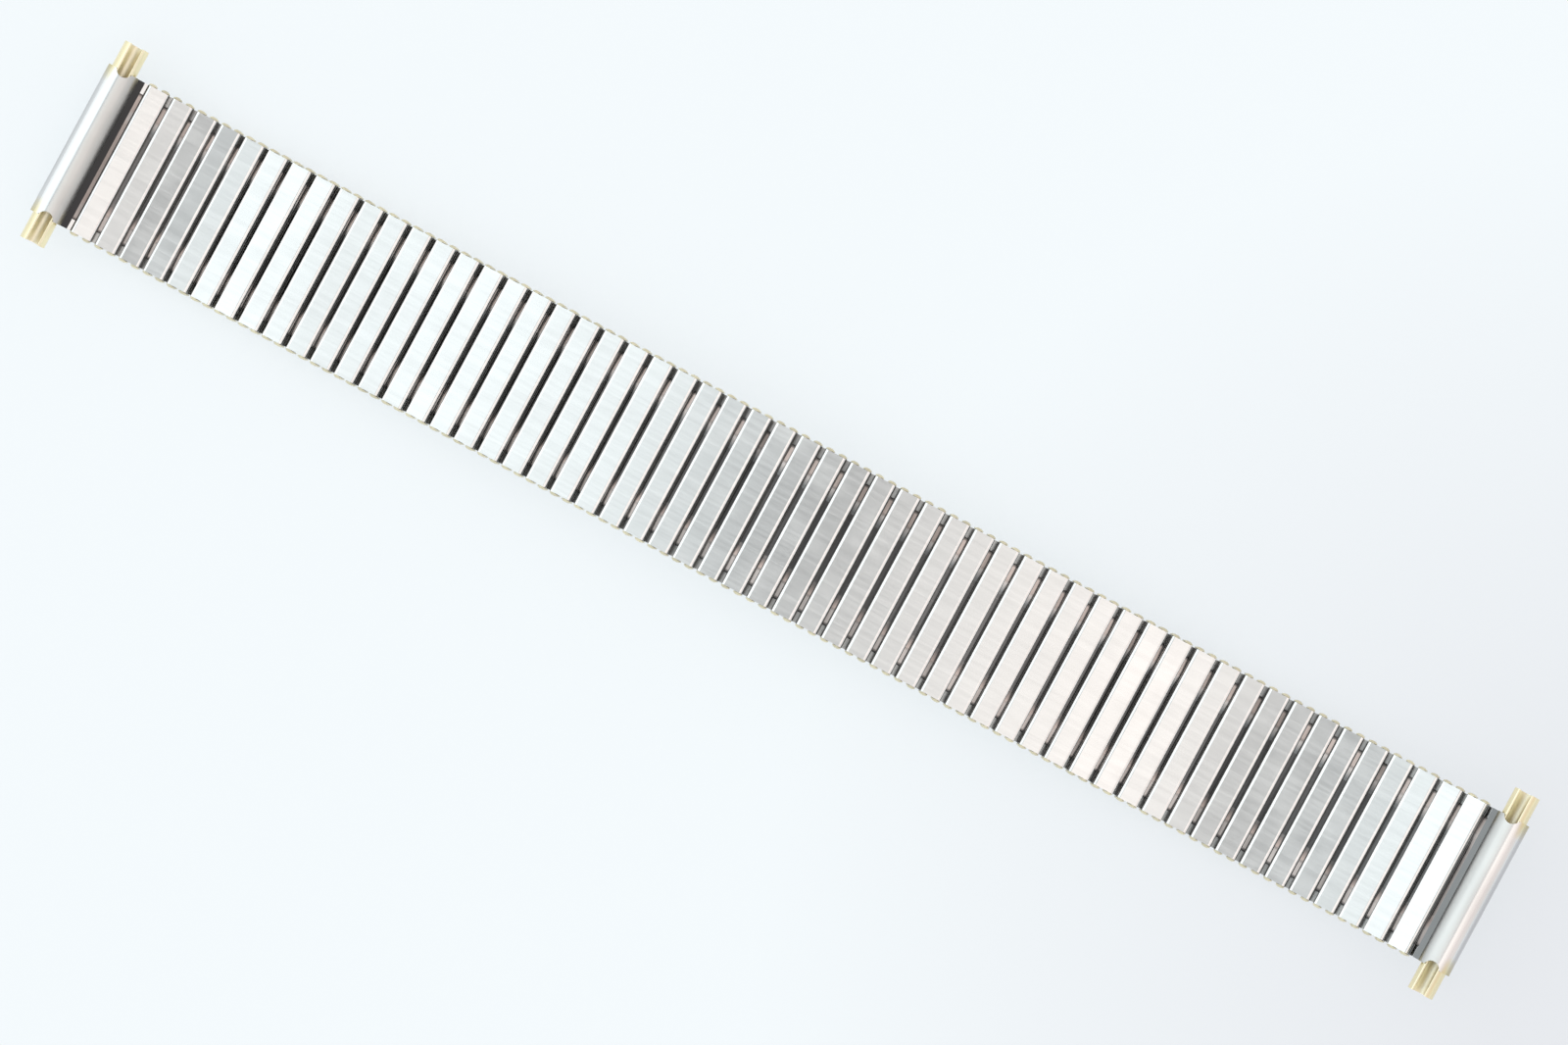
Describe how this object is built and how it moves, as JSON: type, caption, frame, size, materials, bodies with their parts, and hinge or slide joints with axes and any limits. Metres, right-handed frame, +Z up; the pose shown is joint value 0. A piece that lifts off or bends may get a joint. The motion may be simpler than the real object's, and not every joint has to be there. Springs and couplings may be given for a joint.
{
  "type": "expansion watch band",
  "caption": "Stretching steel watch band: two rows of hollow sleeves joined by side clips and leaf springs, with telescoping gold-coloured inserts for spring bars at both ends",
  "frame": {"origin": "under the middle of the band's box, on the surface that it lies on", "axes": "+X along the band, towards its right end in the picture; +Y across it, to the picture's upper side; +Z up, out of the brushed face"},
  "size_m": [0.1512, 0.021, 0.0064],
  "materials": {
    "brushed_steel": "fine brushed along the band, bright bevels",
    "inner_steel": "plain rolled sheet",
    "clip_steel": "stamped clips with a warm olive tint",
    "spring_steel": "bright spring strip",
    "end_steel": "polished rolled sheet",
    "gold_plate": "polished gold-coloured plate"
  },
  "bodies": {
    "section_1": {"section_1_upper_sleeves": "brushed_steel", "section_1_lower_sleeves": "inner_steel", "section_1_clips": "clip_steel", "section_1_springs": "spring_steel"},
    "section_2": {"section_2_upper_sleeves": "brushed_steel", "section_2_lower_sleeves": "inner_steel", "section_2_clips": "clip_steel", "section_2_springs": "spring_steel"},
    "section_3": {"section_3_upper_sleeves": "brushed_steel", "section_3_lower_sleeves": "inner_steel", "section_3_clips": "clip_steel", "section_3_springs": "spring_steel"},
    "section_4": {"section_4_upper_sleeves": "brushed_steel", "section_4_lower_sleeves": "inner_steel", "section_4_clips": "clip_steel", "section_4_springs": "spring_steel"},
    "section_5": {"section_5_upper_sleeves": "brushed_steel", "section_5_lower_sleeves": "inner_steel", "section_5_clips": "clip_steel", "section_5_springs": "spring_steel"},
    "section_6": {"section_6_upper_sleeves": "brushed_steel", "section_6_lower_sleeves": "inner_steel", "section_6_clips": "clip_steel", "section_6_springs": "spring_steel"},
    "section_7": {"section_7_upper_sleeves": "brushed_steel", "section_7_lower_sleeves": "inner_steel", "section_7_clips": "clip_steel", "section_7_springs": "spring_steel"},
    "link_1": {"link_1_sleeve": "inner_steel", "link_1_spring": "spring_steel"},
    "link_1_tilting_clips": {"link_1_clips": "clip_steel"},
    "link_2": {"link_2_sleeve": "inner_steel", "link_2_spring": "spring_steel"},
    "link_2_tilting_clips": {"link_2_clips": "clip_steel"},
    "link_3": {"link_3_sleeve": "inner_steel", "link_3_spring": "spring_steel"},
    "link_3_tilting_clips": {"link_3_clips": "clip_steel"},
    "link_4": {"link_4_sleeve": "inner_steel", "link_4_spring": "spring_steel"},
    "link_4_tilting_clips": {"link_4_clips": "clip_steel"},
    "link_5": {"link_5_sleeve": "inner_steel", "link_5_spring": "spring_steel"},
    "link_5_tilting_clips": {"link_5_clips": "clip_steel"},
    "link_6": {"link_6_sleeve": "inner_steel", "link_6_spring": "spring_steel"},
    "link_6_tilting_clips": {"link_6_clips": "clip_steel"},
    "left_end": {"left_end_sleeve": "end_steel", "left_end_spring": "spring_steel"},
    "left_front_insert": {"left_front_insert": "gold_plate"},
    "left_back_insert": {"left_back_insert": "gold_plate"},
    "right_end": {"right_end_sleeve": "end_steel", "right_end_spring": "spring_steel"},
    "right_front_insert": {"right_front_insert": "gold_plate"},
    "right_back_insert": {"right_back_insert": "gold_plate"}
  },
  "joints": [
    {"name": "stretch_1", "type": "slide", "parent": "section_2", "child": "link_1", "axis": [-0.9988, 0, -0.0492], "range_m": [0, 0.00056666], "stiffness_N_per_m": 1500},
    {"name": "clip_tilt_1", "type": "hinge", "parent": "section_2", "child": "link_1_tilting_clips", "pos_m": [-0.0503, 0, 0.00249], "axis": [0, 1, 0], "range_deg": [0, 20]},
    {"name": "bend_1", "type": "hinge", "parent": "link_1", "child": "section_1", "pos_m": [-0.05153, 0, 0.00077], "axis": [0, -1, 0], "range_deg": [-6, 30], "stiffness_Nm_per_rad": 0.1},
    {"name": "stretch_2", "type": "slide", "parent": "section_3", "child": "link_2", "axis": [-0.9971, 0, -0.0759], "range_m": [0, 0.00056666], "stiffness_N_per_m": 1500},
    {"name": "clip_tilt_2", "type": "hinge", "parent": "section_3", "child": "link_2_tilting_clips", "pos_m": [-0.02941, 0, 0.00371], "axis": [0, 1, 0], "range_deg": [0, 20]},
    {"name": "bend_2", "type": "hinge", "parent": "link_2", "child": "section_2", "pos_m": [-0.03059, 0, 0.00196], "axis": [0, -1, 0], "range_deg": [-6, 30], "stiffness_Nm_per_rad": 0.1},
    {"name": "stretch_3", "type": "slide", "parent": "section_4", "child": "link_3", "axis": [-0.9991, 0, -0.0414], "range_m": [0, 0.00056666], "stiffness_N_per_m": 1500},
    {"name": "clip_tilt_3", "type": "hinge", "parent": "section_4", "child": "link_3_tilting_clips", "pos_m": [-0.00846, 0, 0.0051], "axis": [0, 1, 0], "range_deg": [0, 20]},
    {"name": "bend_3", "type": "hinge", "parent": "link_3", "child": "section_3", "pos_m": [-0.0097, 0, 0.00339], "axis": [0, -1, 0], "range_deg": [-6, 30], "stiffness_Nm_per_rad": 0.1},
    {"name": "stretch_4", "type": "slide", "parent": "section_4", "child": "link_4", "axis": [0.9993, 0, -0.0375], "range_m": [0, 0.00056666], "stiffness_N_per_m": 1500},
    {"name": "clip_tilt_4", "type": "hinge", "parent": "section_4", "child": "link_4_tilting_clips", "pos_m": [0.00863, 0, 0.00511], "axis": [0, -1, 0], "range_deg": [0, 20]},
    {"name": "bend_4", "type": "hinge", "parent": "link_4", "child": "section_5", "pos_m": [0.00987, 0, 0.00341], "axis": [0, 1, 0], "range_deg": [-6, 30], "stiffness_Nm_per_rad": 0.1},
    {"name": "stretch_5", "type": "slide", "parent": "section_5", "child": "link_5", "axis": [0.9954, 0, -0.0958], "range_m": [0, 0.00056666], "stiffness_N_per_m": 1500},
    {"name": "clip_tilt_5", "type": "hinge", "parent": "section_5", "child": "link_5_tilting_clips", "pos_m": [0.02958, 0, 0.00367], "axis": [0, -1, 0], "range_deg": [0, 20]},
    {"name": "bend_5", "type": "hinge", "parent": "link_5", "child": "section_6", "pos_m": [0.03073, 0, 0.0019], "axis": [0, 1, 0], "range_deg": [-6, 30], "stiffness_Nm_per_rad": 0.1},
    {"name": "stretch_6", "type": "slide", "parent": "section_6", "child": "link_6", "axis": [0.9998, 0, 0.0183], "range_m": [0, 0.00056666], "stiffness_N_per_m": 1500},
    {"name": "clip_tilt_6", "type": "hinge", "parent": "section_6", "child": "link_6_tilting_clips", "pos_m": [0.05037, 0, 0.00203], "axis": [0, -1, 0], "range_deg": [0, 20]},
    {"name": "bend_6", "type": "hinge", "parent": "link_6", "child": "section_7", "pos_m": [0.05171, 0, 0.0004], "axis": [0, 1, 0], "range_deg": [-6, 30], "stiffness_Nm_per_rad": 0.1},
    {"name": "left_end_turn", "type": "hinge", "parent": "section_1", "child": "left_end", "pos_m": [-0.0713, 0, 0.00162], "axis": [0, -1, 0], "range_deg": [-6, 30], "stiffness_Nm_per_rad": 0.05},
    {"name": "left_front_insert_slide", "type": "slide", "parent": "left_end", "child": "left_front_insert", "axis": [0, -1, 0], "range_m": [-0.00265, 0.0005]},
    {"name": "left_back_insert_slide", "type": "slide", "parent": "left_end", "child": "left_back_insert", "axis": [0, 1, 0], "range_m": [-0.00265, 0.0005]},
    {"name": "right_end_turn", "type": "hinge", "parent": "section_7", "child": "right_end", "pos_m": [0.07136, 0, 0.00279], "axis": [0, 1, 0], "range_deg": [-6, 30], "stiffness_Nm_per_rad": 0.05},
    {"name": "right_front_insert_slide", "type": "slide", "parent": "right_end", "child": "right_front_insert", "axis": [0, -1, 0], "range_m": [-0.00265, 0.0005]},
    {"name": "right_back_insert_slide", "type": "slide", "parent": "right_end", "child": "right_back_insert", "axis": [0, 1, 0], "range_m": [-0.00265, 0.0005]}
  ],
  "couplings": [
    {"joint": "clip_tilt_1", "follows": "stretch_1", "rad_per_m": 615.94},
    {"joint": "clip_tilt_2", "follows": "stretch_2", "rad_per_m": 615.94},
    {"joint": "clip_tilt_3", "follows": "stretch_3", "rad_per_m": 615.94},
    {"joint": "clip_tilt_4", "follows": "stretch_4", "rad_per_m": 615.94},
    {"joint": "clip_tilt_5", "follows": "stretch_5", "rad_per_m": 615.94},
    {"joint": "clip_tilt_6", "follows": "stretch_6", "rad_per_m": 615.94}
  ]
}
